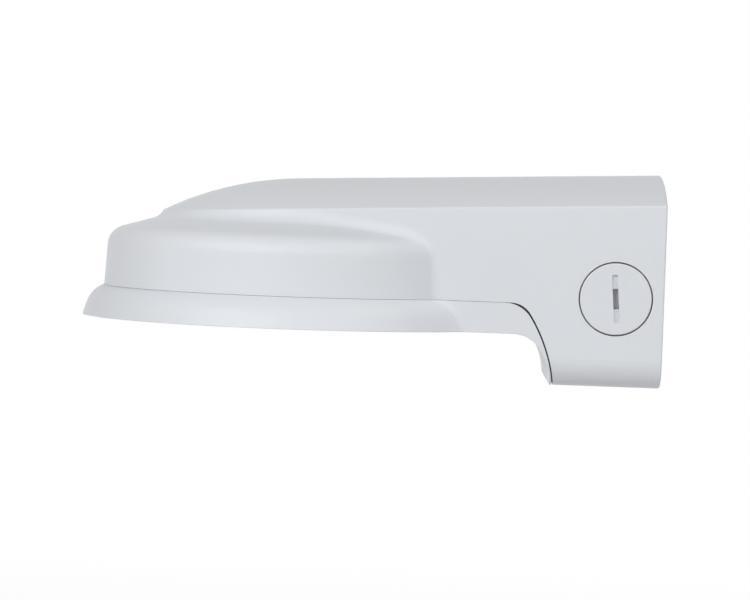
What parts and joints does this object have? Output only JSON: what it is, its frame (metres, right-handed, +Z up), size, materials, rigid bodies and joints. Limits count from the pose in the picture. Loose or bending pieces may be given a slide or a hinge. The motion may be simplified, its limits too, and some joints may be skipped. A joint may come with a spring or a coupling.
{
  "type": "camera wall bracket",
  "caption": "Wall bracket for a dome camera: crowned arm from a wall box to a round camera disc with a flared rim, a screwed cover underneath and a coin-slot plug in its side.",
  "frame": {"origin": "centre of the wall bolt pattern in the plane of the wall, level with the axis of the side plug", "axes": "+X into the wall, so the arm runs towards -X; +Z up; the plug is on the -Y side"},
  "size_m": [0.2118, 0.1576, 0.0765],
  "materials": {
    "white_coat": "fine satin powder coat, white",
    "plug_coat": "smooth satin coat, white",
    "seal_rubber": "matte",
    "gasket_rubber": "matte",
    "screw_steel": "stainless, satin"
  },
  "bodies": {
    "root": {"upper_housing": "white_coat", "lower_cover": "white_coat", "conduit_plug": "plug_coat", "cover_seal": "seal_rubber", "plug_seal_ring": "seal_rubber", "wall_gasket": "gasket_rubber", "cable_grommet": "gasket_rubber", "cover_screws": "screw_steel", "screw_washers": "screw_steel"}
  },
  "joints": []
}
